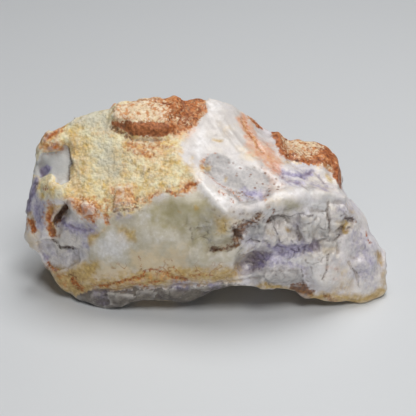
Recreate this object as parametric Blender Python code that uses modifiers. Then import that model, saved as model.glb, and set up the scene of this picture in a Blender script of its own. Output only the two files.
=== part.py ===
"""A rough opal: one broken lump of common opal with crust on its upper left, standing as it was laid down.

Lengths are in millimetres until the mesh is made, and the finished object is in metres. X runs along the
stone to its thin end, Y to its hidden back, and Z up from the table. The stone is about 92 mm long.

A place on the visible side is given as (across, up), as it is sighted from in front and 30 degrees above
the table: across runs to the right and up runs up, from the point that is aimed at. A third number is
the depth, how far back the place lies on Y.
"""

import math

import bmesh
import bpy
import numpy as np
from mathutils import Matrix, Vector, noise

NAME = "rough_opal"
MM = 0.001

# The line of sight that places on the visible side are given along.
SIGHT_TILT = math.radians(30)
SIGHT_DISTANCE = 347.0
AIM = Vector((0.0, 0.0, 22.0))
SIGHT = Vector((0.0, math.cos(SIGHT_TILT), -math.sin(SIGHT_TILT)))
ACROSS = Vector((1.0, 0.0, 0.0))
UP = Vector((0.0, math.sin(SIGHT_TILT), math.cos(SIGHT_TILT)))
EYE = AIM - SIGHT * SIGHT_DISTANCE

# How fine the fused lump is, and how many triangles the finished solid keeps.
GRAIN = 0.7
TRIANGLES = 8800
THICK_END_WEAR = 14
EDGE_ROUNDING = 2
CREASE_ANGLE = math.radians(40)

# How far the edges of plates and cracks wander from their stated paths.
EDGE_SWAY = 1.1

# The break: the size of its flat cells, how far each is set in or out, and the seed of its dice.
BREAK_CELLS = [(9.0, 1.2, 3), (4.6, 0.5, 5)]
# The soft unevenness: how high, how broad, and its seed.
UNEVENNESS = [(0.45, 11.0, 1), (0.3, 4.0, 2)]
# Where the break starts on X towards the thin end and on Y towards the back, the distance it grows over,
# its strength on the thin end and elsewhere, and the height above which the terrace is left smooth.
THIN_END_BREAK = (4.0, 8.0, 0.8)
BACK_BREAK = (14.0, 10.0)
SMOOTH_ABOVE = (31.0, 4.0)
LEAST_BREAK = 0.15

# The thick end: a lump whose crest runs along the top and whose front falls almost straight.
THICK_END_SIGHTED = [
    # the crest, from the white shoulder to the left corner
    (-0.8, 27.4, 13.5), (-9.0, 26.4, 11.5), (-16.2, 25.7, 10.0), (-23.5, 24.7, 9.0),
    (-31.2, 24.2, 8.5), (-36.6, 21.9, 8.0), (-40.8, 18.8, 7.0), (-42.9, 15.4, 5.0),
    # the left end, down to the foot
    (-43.9, 7.2, 3.0), (-46.2, -2.2, 1.0), (-45.7, -6.0, 0.0), (-44.4, -9.6, -2.0),
    (-40.0, -15.4, -6.0), (-38.2, -19.0, -8.0), (-36.0, -22.4, -9.0), (-27.0, -25.6, -12.5),
    # where the crust turns over into the front
    (-37.0, 1.0, -7.5), (-27.0, -1.5, -11.5), (-14.5, -1.0, -13.5), (-4.5, 3.2, -12.5), (4.3, -1.0, -16.5),
    # the tan line low on the front, and the lower edge that is cut back under it
    (-22.0, -19.6, -15.0), (-8.0, -18.9, -16.5), (3.0, -17.6, -17.5),
    (-21.0, -24.2, -10.5), (-6.0, -24.4, -11.5), (0.5, -22.0, -13.5), (6.0, -20.0, -15.5),
]
THICK_END_HIDDEN = [
    (-39.0, 15.0, 31.0), (-41.0, 13.0, 7.0), (-29.0, 26.0, 26.0), (-27.0, 28.0, 0.0),
    (-10.0, 25.0, 37.0), (-9.0, 32.0, 16.0), (-8.0, 31.0, 0.0), (3.0, 31.0, 24.0), (2.0, 32.0, 0.0),
]

# The slope between them: from the crest down to the terrace behind the broken front.
SLOPE_SIGHTED = [
    (-8.0, 26.4, 12.0), (-0.8, 27.4, 13.5), (3.0, 26.9, 14.0), (6.4, 25.6, 15.0), (8.6, 23.6, 15.5),
    (11.0, 21.9, 16.5), (13.4, 20.1, 17.0), (18.2, 16.8, 17.5), (25.0, 15.2, 16.0),
    (-7.0, 8.0, -5.0), (4.3, -1.0, -16.5), (10.5, 0.8, -15.0), (20.5, 2.2, -13.0), (28.0, 4.2, -9.0),
]
SLOPE_HIDDEN = [
    (-12.0, 22.0, 32.0), (0.0, 27.0, 30.0), (10.0, 26.0, 28.0), (19.0, 23.0, 26.0),
    (-12.0, 24.0, 0.0), (-2.0, 31.0, 0.0), (11.0, 30.0, 0.0), (20.0, 20.0, 0.0), (4.0, -6.0, 14.0), (22.0, -4.0, 14.0),
]

# The thin end: lower, with a broken front, tapering to the right.
THIN_END_SIGHTED = [
    # the rim over the broken front
    (4.3, -1.0, -16.5), (10.5, 0.8, -15.0), (20.5, 2.2, -13.0), (28.0, 4.0, -9.0), (32.6, 4.0, -2.0),
    # the far side of the terrace
    (32.4, 8.4, 8.0), (31.0, 12.4, 12.0), (29.0, 15.0, 14.0), (18.0, 16.4, 17.0),
    # the right edge, down to the table
    (38.4, -4.2, 2.0), (42.3, -8.2, 0.0), (44.4, -12.0, -2.0), (45.5, -16.0, -4.0), (45.1, -20.0, -6.0),
    (43.2, -22.4, -7.0), (40.2, -24.1, -10.0),
    # the lower edge of the broken front
    (34.0, -23.6, -11.5), (27.5, -23.0, -12.5), (22.2, -22.0, -13.5), (14.2, -20.0, -15.5), (6.0, -19.9, -17.0),
]
THIN_END_HIDDEN = [
    (-4.0, 0.0, 20.0), (-2.0, 22.0, 32.0), (8.0, 18.0, 34.0), (15.0, 24.0, 27.0), (27.0, 23.0, 19.0),
    (28.0, 24.0, 0.0), (38.0, 13.0, 9.0), (40.0, 8.0, 0.0), (10.0, 30.0, 14.0), (10.0, 31.0, 0.0),
]

# Scoops cut out of the lump: centre, then half-sizes along X, Y and Z, then a turn about Z and about X.
SCOOPS = {
    "arch_under_the_front": ((11.0, -14.0, -1.5), (15.0, 17.0, 9.6), 0, 0),
    "low_arch_by_the_foot": ((-13.0, -15.0, -2.0), (10.5, 9.0, 5.2), 0, 0),
    "hollow_underside": ((6.0, 4.0, -3.0), (24.0, 13.0, 6.0), 0, 0),
    "shell_scar_behind": ((18.0, 40.0, 30.0), (20.0, 15.0, 16.0), 20, 0),
    "scar_behind_the_thick_end": ((-30.0, 40.0, 34.0), (18.0, 16.0, 20.0), -12, 0),
}


def sighted(across, up, depth):
    """The point at that depth on the line of sight through (across, up)."""
    ray = AIM + ACROSS * across + UP * up - EYE
    return EYE + ray * ((depth - EYE.y) / ray.y)


def block(name, sighted_corners, hidden_corners):
    """A convex block stretched over its corners."""
    bm = bmesh.new()
    for corner in sighted_corners:
        bm.verts.new(sighted(*corner))
    for corner in hidden_corners:
        bm.verts.new(corner)
    hull = bmesh.ops.convex_hull(bm, input=bm.verts)
    loose = {item for item in hull["geom_interior"] + hull["geom_unused"] if isinstance(item, bmesh.types.BMVert)}
    bmesh.ops.delete(bm, geom=list(loose), context="VERTS")
    return object_from(bm, name)


def object_from(bm, name):
    mesh = bpy.data.meshes.new(name)
    bm.to_mesh(mesh)
    bm.free()
    made = bpy.data.objects.new(name, mesh)
    bpy.context.scene.collection.objects.link(made)
    return made


def scoop(name, centre, half_sizes, turn, tip):
    """An egg-shaped cutter."""
    bm = bmesh.new()
    bmesh.ops.create_icosphere(bm, subdivisions=4, radius=1.0)
    place = Matrix.Translation(centre) @ Matrix.Rotation(math.radians(turn), 4, "Z")
    place = place @ Matrix.Rotation(math.radians(tip), 4, "X") @ Matrix.Diagonal((*half_sizes, 1.0))
    bmesh.ops.transform(bm, matrix=place, verts=bm.verts)
    return object_from(bm, name)


def add_modifier(target, kind, **settings):
    modifier = target.modifiers.new(kind.title(), kind)
    for setting, value in settings.items():
        setattr(modifier, setting, value)
    return modifier


def baked(target):
    """Makes the object's modifiers part of its mesh."""
    graph = bpy.context.evaluated_depsgraph_get()
    old = target.data
    target.data = bpy.data.meshes.new_from_object(target.evaluated_get(graph))
    target.modifiers.clear()
    bpy.data.meshes.remove(old)


def fused_lump():
    """All three blocks in one, with the scoops cut out of them, as one even skin."""
    lump = block(NAME, THICK_END_SIGHTED, THICK_END_HIDDEN)
    add_modifier(lump, "REMESH", mode="VOXEL", voxel_size=GRAIN)
    add_modifier(lump, "SMOOTH", factor=0.5, iterations=THICK_END_WEAR)
    baked(lump)
    helpers = [
        block("slope", SLOPE_SIGHTED, SLOPE_HIDDEN),
        block("thin_end", THIN_END_SIGHTED, THIN_END_HIDDEN),
    ]
    for other in list(helpers):
        add_modifier(lump, "BOOLEAN", operation="UNION", object=other)
    for name, shape in SCOOPS.items():
        cutter = scoop(name, *shape)
        helpers.append(cutter)
        add_modifier(lump, "BOOLEAN", operation="DIFFERENCE", object=cutter)
    add_modifier(lump, "REMESH", mode="VOXEL", voxel_size=GRAIN)
    add_modifier(lump, "SMOOTH", factor=0.5, iterations=EDGE_ROUNDING)
    baked(lump)
    for helper in helpers:
        bpy.data.objects.remove(helper)
    return lump


class Skin:
    """The lump's points and outward directions, for moving its surface about."""

    def __init__(self, target):
        self.mesh = target.data
        self.points = self.read("co")
        self.outward = self.read("normal")
        ray = self.points - np.array(EYE)
        forward = ray @ np.array(SIGHT)
        across = ray @ np.array(ACROSS) / forward * SIGHT_DISTANCE
        up = ray @ np.array(UP) / forward * SIGHT_DISTANCE
        self.sighted = np.stack([across, up], axis=1)
        toward_eye = -(ray * self.outward).sum(1) / np.linalg.norm(ray, axis=1)
        self.in_view = ease((toward_eye + 0.1) / 0.25)

    def read(self, field):
        values = np.empty(len(self.mesh.vertices) * 3)
        self.mesh.vertices.foreach_get(field, values)
        return values.reshape(-1, 3)

    def move_out(self, amount):
        """Moves each point out by its own amount, in millimetres."""
        self.points += self.outward * amount[:, None]

    def write(self):
        self.mesh.vertices.foreach_set("co", self.points.ravel())
        self.mesh.update()


def ease(value):
    """0 to 1 with soft ends."""
    held = np.clip(value, 0.0, 1.0)
    return held * held * (3 - 2 * held)


def distance_to_path(points, path):
    """How far each point is from a path of straight runs."""
    path = np.array(path, float)
    nearest = np.full(len(points), 1e9)
    for start, end in zip(path[:-1], path[1:]):
        run = end - start
        along = np.clip(((points - start) @ run) / max(run @ run, 1e-9), 0, 1)
        nearest = np.minimum(nearest, np.linalg.norm(points - start - along[:, None] * run, axis=1))
    return nearest


def inside(points, outline):
    """Whether each point lies inside a closed outline."""
    crossings = np.zeros(len(points), int)
    for (ax, ay), (bx, by) in zip(outline, outline[1:] + outline[:1]):
        spans = (points[:, 1] < ay) != (points[:, 1] < by)
        meets = ax + (points[:, 1] - ay) * (bx - ax) / ((by - ay) or 1e-9)
        crossings += spans & (points[:, 0] < meets)
    return crossings % 2 == 1


def ripple(points, size, seed):
    """Smooth noise from about -1 to 1 with bumps of that size."""
    shift = Vector((seed * 17.3, seed * 5.1, seed * 9.7))
    return np.array([noise.noise(Vector(p) / size + shift) for p in points])


def strokes(places, lines):
    """Raises the surface along each path, or sinks it where the amount is negative."""
    change = np.zeros(len(places))
    for path, half_width, amount, firmness in lines:
        reach = 1 - distance_to_path(places, path) / half_width
        change += amount * ease(reach * firmness)
    return change


def plates(places, outlines):
    """Raises each outlined plate, or sinks it, with a wall at its edge."""
    change = np.zeros(len(places))
    for outline, amount, wall in outlines:
        edge = distance_to_path(places, outline + outline[:1])
        depth = np.where(inside(places, outline), edge, -edge)
        change += amount * ease(depth / wall + 0.5)
    return change


# Plates on the visible side: outline as (across, up), how far it is raised, and how wide its wall is.
PLATES = [
    # the rusty slab on the crest, and its broken front wall
    ([(-24.2, 23.2), (-23.2, 26.8), (-15.8, 29.3), (-8.2, 29.6), (-6.6, 25.6), (-9, 21.6), (-9.4, 18.2),
      (-13.2, 17.8), (-18.9, 17.8), (-20, 20.6), (-23.6, 20.8)], 2.3, 1.4),
    # the smooth chip out of the crust at the left end
    ([(-40.4, 13.9), (-35.7, 16.7), (-34.4, 15.1), (-34.2, 7), (-38.9, 6.4), (-44, 7.9), (-43.4, 11.4)], -1.5, 1.5),
    # the smooth scar low on the left end, under a step
    ([(-44, -11.1), (-38.9, -8), (-34.8, -10.2), (-31.9, -10.5), (-32.6, -13.6), (-37, -16), (-42, -14.2)], -0.9, 1.2),
    # the grey pane sunk into the terrace
    ([(-0.8, 12), (1.8, 13.9), (6.1, 13.9), (9.9, 11.4), (14.2, 8.9), (16.8, 6.4), (15.5, 3.2), (11.8, 1.4),
      (7.4, 1.4), (4.9, 3.2), (3, 5.8), (-0.1, 8.2)], -0.8, 2.2),
    # the brown slab of crust behind the terrace
    ([(16.1, 18.6), (18, 20), (25.5, 19), (32.4, 18.6), (35.4, 13), (35.3, 5), (32.6, 5.4), (31.1, 9.5),
      (26.8, 10.8), (21.8, 12), (18, 14.5)], 1.9, 1.3),
    # the stream bed at the right of the terrace
    ([(17.4, 9.5), (23, 8.9), (28.6, 8.2), (32.4, 5.8), (29.9, 4.5), (25.5, 4.5), (19.9, 6.4)], -1.0, 2.0),
    # the hollow under the rim
    ([(14.6, -2.2), (18, -2), (23, -2.8), (23, -7.8), (18, -8.4), (16.6, -6.4), (14.2, -5.8)], -2.0, 1.4),
    # the hollow right of the pillar
    ([(26.4, -4.4), (29.2, -5.4), (29.9, -10.5), (26.8, -11.1)], -1.5, 1.4),
    # blocks of the broken front, between its cracks
    ([(23, -1.5), (30, -1), (30, -7), (27, -8), (26, -2.6)], 0.8, 1.2),
    ([(30.2, 1), (34, 1), (35.5, -2.5), (32.5, -4), (30.5, -6)], 0.8, 1.2),
    ([(27.5, -8.4), (32, -8.2), (32, -12), (28.5, -12.6)], 0.9, 1.2),
    ([(12.5, -15.2), (23, -15.4), (24, -19.4), (14, -19.8)], 0.7, 1.2),
    ([(7, -14), (12, -10.5), (16, -10.5), (15, -14), (10, -16.5)], -1.0, 1.6),
    # the rusty ground right of the slab
    ([(-9.4, 24), (-6.4, 29), (-1.6, 29), (-0.8, 24), (-3.4, 20.5), (-8, 21)], 0.8, 1.6),
    # the notch at the right edge
    ([(32.4, -4.2), (34.9, -3), (36.1, -4.2), (34.9, -6.8), (33, -7.4)], -1.3, 1.2),
]

# Ridges and grooves on the visible side: path as (across, up), half width, how far it is raised, firmness.
LINES = [
    # crust lumps: left corner, the rusty patch above the pit, the blistered patch, the left lobe
    ([(-39.6, 17.2), (-37.5, 17.6)], 2.6, 0.7, 1.4),
    ([(-33.6, 0.6), (-30.2, -0.6)], 2.8, 0.7, 1.4),
    ([(-22, 4), (-21, -0.5)], 3.2, 0.7, 1.4),
    ([(-44, -7.6), (-42.6, -9)], 2.6, 1.2, 1.4),
    # the rusty pit and the slit beside it
    ([(-36.1, -0.2), (-38.9, -6.1)], 2.2, -1.8, 1.4),
    ([(-35.4, 0.3), (-37.9, -3)], 1.4, -1.2, 1.4),
    # the step over the low scar
    ([(-39.2, -7.7), (-37, -9.2), (-34.8, -10), (-32.9, -9.9)], 1.0, -0.6, 1.4),
    # the hollow under the white shoulder
    ([(-9.5, -3), (-3, -5.5)], 6.5, -0.9, 1.0),
    # the belly of the front
    ([(-25, -9.5), (-15, -8.5)], 8.0, 0.9, 1.0),
    # the groove between the tan crust and the grey band along the bottom
    ([(-35.1, -21.4), (-23.2, -20.4), (-10.8, -19.6), (4.2, -18), (8, -16.6)], 1.4, -0.8, 1.4),
    # the white shoulder down to its blunt nose
    ([(-7.6, 12.6), (-3.2, 8.9), (1.1, 3.2), (4.6, -1.1)], 3.0, 1.0, 1.2),
    # the sag of the white slope
    ([(10, 18), (20, 12)], 9.0, -1.6, 1.0),
    # the rim over the broken front
    ([(9, -0.5), (18, 2), (23.6, 2.9), (29.2, 3.6), (33.6, 3.2)], 2.2, 0.8, 1.2),
    # the pillar and the cracks of the broken front
    ([(24.2, -1.8), (24.6, -8.6)], 1.9, 1.5, 1.6),
    ([(29.9, 1.4), (30.3, -1.8), (29.9, -4.9)], 1.0, -0.8, 1.4),
    ([(35.4, -13.2), (37, -16), (36, -20.5)], 1.3, -1.1, 1.4),
    ([(16, -2.4), (15.2, -5.5)], 1.0, 0.7, 1.4),
    # the valley across the broken front, and the bulges under it
    ([(8, -14.9), (12.4, -12.4), (18, -11.1), (26.1, -10.5)], 2.6, -1.8, 1.2),
    ([(14.2, -17.4), (21.8, -16.8)], 3.0, 0.8, 1.2),
    ([(29.2, -14.5), (29.4, -17)], 5.0, 1.2, 1.2),
    ([(40.2, -14), (40.5, -18)], 3.6, 0.8, 1.2),
    # the brown fold left of the broken front, and the pale ledge under it
    ([(9.4, -4.6), (7.4, -7.4), (4.9, -9.9), (1.1, -10)], 1.9, -1.4, 1.4),
    ([(-5.8, -11.1), (-0.8, -13), (5.5, -12.4)], 2.4, 0.5, 1.2),
    ([(-2.6, -4), (-1.2, -7.8)], 2.6, -0.6, 1.2),
    # the brown hollow under the right edge
    ([(23.4, -20.8), (25.6, -21)], 2.4, -1.2, 1.4),
]

# Ridges and grooves on the hidden side: path in X, Y and Z, half width, how far it is raised, firmness.
HIDDEN_LINES = [
    ([(-30, 27, 14), (-8, 31, 12), (12, 29, 9)], 2.8, -1.4, 1.6),
    ([(-24, 27, 8), (2, 32, 6)], 4.0, 0.9, 1.2),
    ([(-16, 26, 32), (-12, 30, 18), (-14, 31, 10)], 2.4, -1.1, 1.6),
    ([(22, 22, 20), (30, 20, 10)], 3.0, -1.2, 1.4),
    ([(-42, 8, 24), (-43, 6, 12)], 3.0, -1.0, 1.4),
    ([(-6, 22, 40), (-22, 20, 39)], 5.0, 1.3, 1.2),
]


def carve(skin):
    """The ledges, scars, steps and cracks."""
    sway = np.stack([ripple(skin.points, 3.2, 7), ripple(skin.points, 3.2, 8)], axis=1) * EDGE_SWAY
    places = skin.sighted + sway
    in_view = plates(places, PLATES) + strokes(places, LINES)
    skin.move_out(in_view * skin.in_view + strokes(skin.points, HIDDEN_LINES))


def fracture(skin, size, depth, seed, share):
    """Breaks the surface into flat-faced cells of that size, each set in or out and tilted by up to the depth."""
    # each cell starts from one seed point, thrown at random inside its own cube of the grid
    dice = np.random.default_rng(seed)
    low = skin.points.min(0) - size
    high = skin.points.max(0) + size
    counts = np.ceil((high - low) / size).astype(int)
    grid = np.stack(np.meshgrid(*[np.arange(n) for n in counts], indexing="ij"), axis=-1).reshape(-1, 3)
    seeds = low + (grid + dice.random(grid.shape)) * size
    near = seeds[np.array([np.min(np.abs(seed_point - skin.points).max(1)) < size for seed_point in seeds])]
    lift = dice.uniform(-1, 1, len(near))
    lean = dice.uniform(-1, 1, near.shape)
    change = np.empty(len(skin.points))
    for start in range(0, len(skin.points), 4000):
        part = skin.points[start:start + 4000]
        owner = np.linalg.norm(part[:, None] - near[None], axis=2).argmin(1)
        tilt = ((part - near[owner]) * lean[owner]).sum(1) / size
        change[start:start + 4000] = depth * (0.6 * lift[owner] + tilt)
    skin.move_out(change * share)


def roughen(skin):
    """The break in flat cells, most of all on the thin end and the back, and a soft unevenness all over."""
    start, growth, strength = THIN_END_BREAK
    top, fade = SMOOTH_ABOVE
    thin_end = strength * ease((skin.points[:, 0] - start) / growth) * ease((top - skin.points[:, 2]) / fade)
    start, growth = BACK_BREAK
    back = ease((skin.points[:, 1] - start) / growth)
    broken = np.maximum(np.maximum(thin_end, back), LEAST_BREAK)
    for size, depth, seed in BREAK_CELLS:
        fracture(skin, size, depth, seed, broken)
    for height, size, seed in UNEVENNESS:
        skin.move_out(height * ripple(skin.points, size, seed))


def drop_crumbs(bm):
    """Keeps only the largest connected body."""
    bodies = []
    waiting = set(bm.verts)
    while waiting:
        body = {waiting.pop()}
        edge_of_body = list(body)
        while edge_of_body:
            vertex = edge_of_body.pop()
            fresh = {edge.other_vert(vertex) for edge in vertex.link_edges} - body
            body |= fresh
            edge_of_body.extend(fresh)
        waiting -= body
        bodies.append(body)
    bodies.sort(key=len)
    for body in bodies[:-1]:
        bmesh.ops.delete(bm, geom=list(body), context="VERTS")


def stand(target):
    """Heals the skin, thins it to the wanted triangles, cuts the feet flat and centres the base on the origin."""
    add_modifier(target, "REMESH", mode="VOXEL", voxel_size=GRAIN)
    add_modifier(target, "SMOOTH", factor=0.5, iterations=EDGE_ROUNDING)
    baked(target)
    ratio = TRIANGLES / (2 * len(target.data.polygons))
    add_modifier(target, "DECIMATE", ratio=ratio, use_collapse_triangulate=True)
    baked(target)
    bm = bmesh.new()
    bm.from_mesh(target.data)
    cut = bmesh.ops.bisect_plane(
        bm, geom=bm.verts[:] + bm.edges[:] + bm.faces[:], plane_co=(0, 0, 0), plane_no=(0, 0, -1), clear_outer=True
    )
    rims = [item for item in cut["geom_cut"] if isinstance(item, bmesh.types.BMEdge)]
    bmesh.ops.holes_fill(bm, edges=rims)
    drop_crumbs(bm)
    bmesh.ops.triangulate(bm, faces=[face for face in bm.faces if len(face.verts) > 3])
    bmesh.ops.recalc_face_normals(bm, faces=bm.faces)
    corners = np.array([vertex.co for vertex in bm.verts])
    middle = (corners.min(0) + corners.max(0)) / 2
    shift = Vector((-middle[0], -middle[1], 0.0))
    print("moved by", [round(value, 3) for value in shift], "mm to centre it")
    bmesh.ops.translate(bm, vec=shift, verts=bm.verts)
    bmesh.ops.scale(bm, vec=(MM, MM, MM), verts=bm.verts)
    bm.to_mesh(target.data)
    bm.free()
    target.data.set_sharp_from_angle(angle=CREASE_ANGLE)


def opal_material():
    material = bpy.data.materials.new("milky_opal")
    material.use_nodes = True
    shader = material.node_tree.nodes["Principled BSDF"]
    shader.inputs["Base Color"].default_value = (0.66, 0.62, 0.56, 1.0)
    shader.inputs["Roughness"].default_value = 0.45
    shader.inputs["Metallic"].default_value = 0.0
    return material


def main():
    for old in list(bpy.data.objects):
        bpy.data.objects.remove(old)
    stone = fused_lump()
    for shaping in (roughen, carve):
        skin = Skin(stone)
        shaping(skin)
        skin.write()
    stand(stone)
    stone.data.materials.append(opal_material())
    collection = bpy.data.collections.new(NAME)
    bpy.context.scene.collection.children.link(collection)
    collection.objects.link(stone)
    bpy.context.scene.collection.objects.unlink(stone)


main()
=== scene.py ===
import math

import bpy
import numpy as np
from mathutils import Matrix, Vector, noise


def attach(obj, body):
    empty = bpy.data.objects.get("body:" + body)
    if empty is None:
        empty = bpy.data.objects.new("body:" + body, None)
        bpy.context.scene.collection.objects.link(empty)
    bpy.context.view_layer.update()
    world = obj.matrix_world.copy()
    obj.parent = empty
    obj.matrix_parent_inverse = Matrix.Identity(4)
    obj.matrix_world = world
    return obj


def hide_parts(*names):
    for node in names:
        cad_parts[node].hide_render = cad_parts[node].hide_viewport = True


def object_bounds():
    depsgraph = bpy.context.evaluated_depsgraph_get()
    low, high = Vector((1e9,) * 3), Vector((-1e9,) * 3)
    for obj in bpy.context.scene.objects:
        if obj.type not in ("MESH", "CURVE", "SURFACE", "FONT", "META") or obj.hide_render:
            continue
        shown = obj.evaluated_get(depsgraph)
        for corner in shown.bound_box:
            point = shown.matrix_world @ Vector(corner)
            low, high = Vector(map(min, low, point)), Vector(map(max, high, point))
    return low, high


# The rough opal as it is seen: milky opal under a granular crust, chipped, cracked and stained with rust.
# The photograph's frame is 416 pixels square. A place on the stone's visible side is given in its pixels,
# across and down. Sizes of the relief are in millimetres.

MM = 0.001
PHOTO_SIDE = 416
LENS = 120.0
SENSOR = 36.0
CAMERA_DISTANCE = 347.0
CAMERA_TILT = math.radians(30)
# The point inside the stone that the camera is aimed at.
AIM = np.array([0.06, -7.78, 22.0])

# The skin's grid, and the rounds of smoothing that wear the solid's flat facets off it.
SKIN_GRAIN = 0.445
SMOOTHING_ROUNDS = 7

# The fine grain of the white slope runs down it this way.
SLOPE_GRAIN = np.array([0.57, -0.76, -0.30])

SIGHT = np.array([0.0, math.cos(CAMERA_TILT), -math.sin(CAMERA_TILT)])
ACROSS = np.array([1.0, 0.0, 0.0])
UP = np.array([0.0, math.sin(CAMERA_TILT), math.cos(CAMERA_TILT)])
EYE = AIM - SIGHT * CAMERA_DISTANCE
PIXELS_PER_MM = PHOTO_SIDE * LENS / SENSOR / CAMERA_DISTANCE

# How much of a zone's strength the hidden side has, where it isn't all of it.
HIDDEN_SHARE = {"chip": 0.0, "dark_cracks_and_shade": 0.4, "rust": 0.7}

# How far each zone fades, against the width given with it.
EDGE_SPREAD = {"area": 1.7, "line": 1.5}


def area(softness, strength, *outline):
    """A zone inside a closed outline, its edge that many pixels soft."""
    return "area", outline, softness, strength


def line(half_width, strength, *path):
    """A zone along a path, that many pixels to either side."""
    return "line", path, half_width, strength


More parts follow.
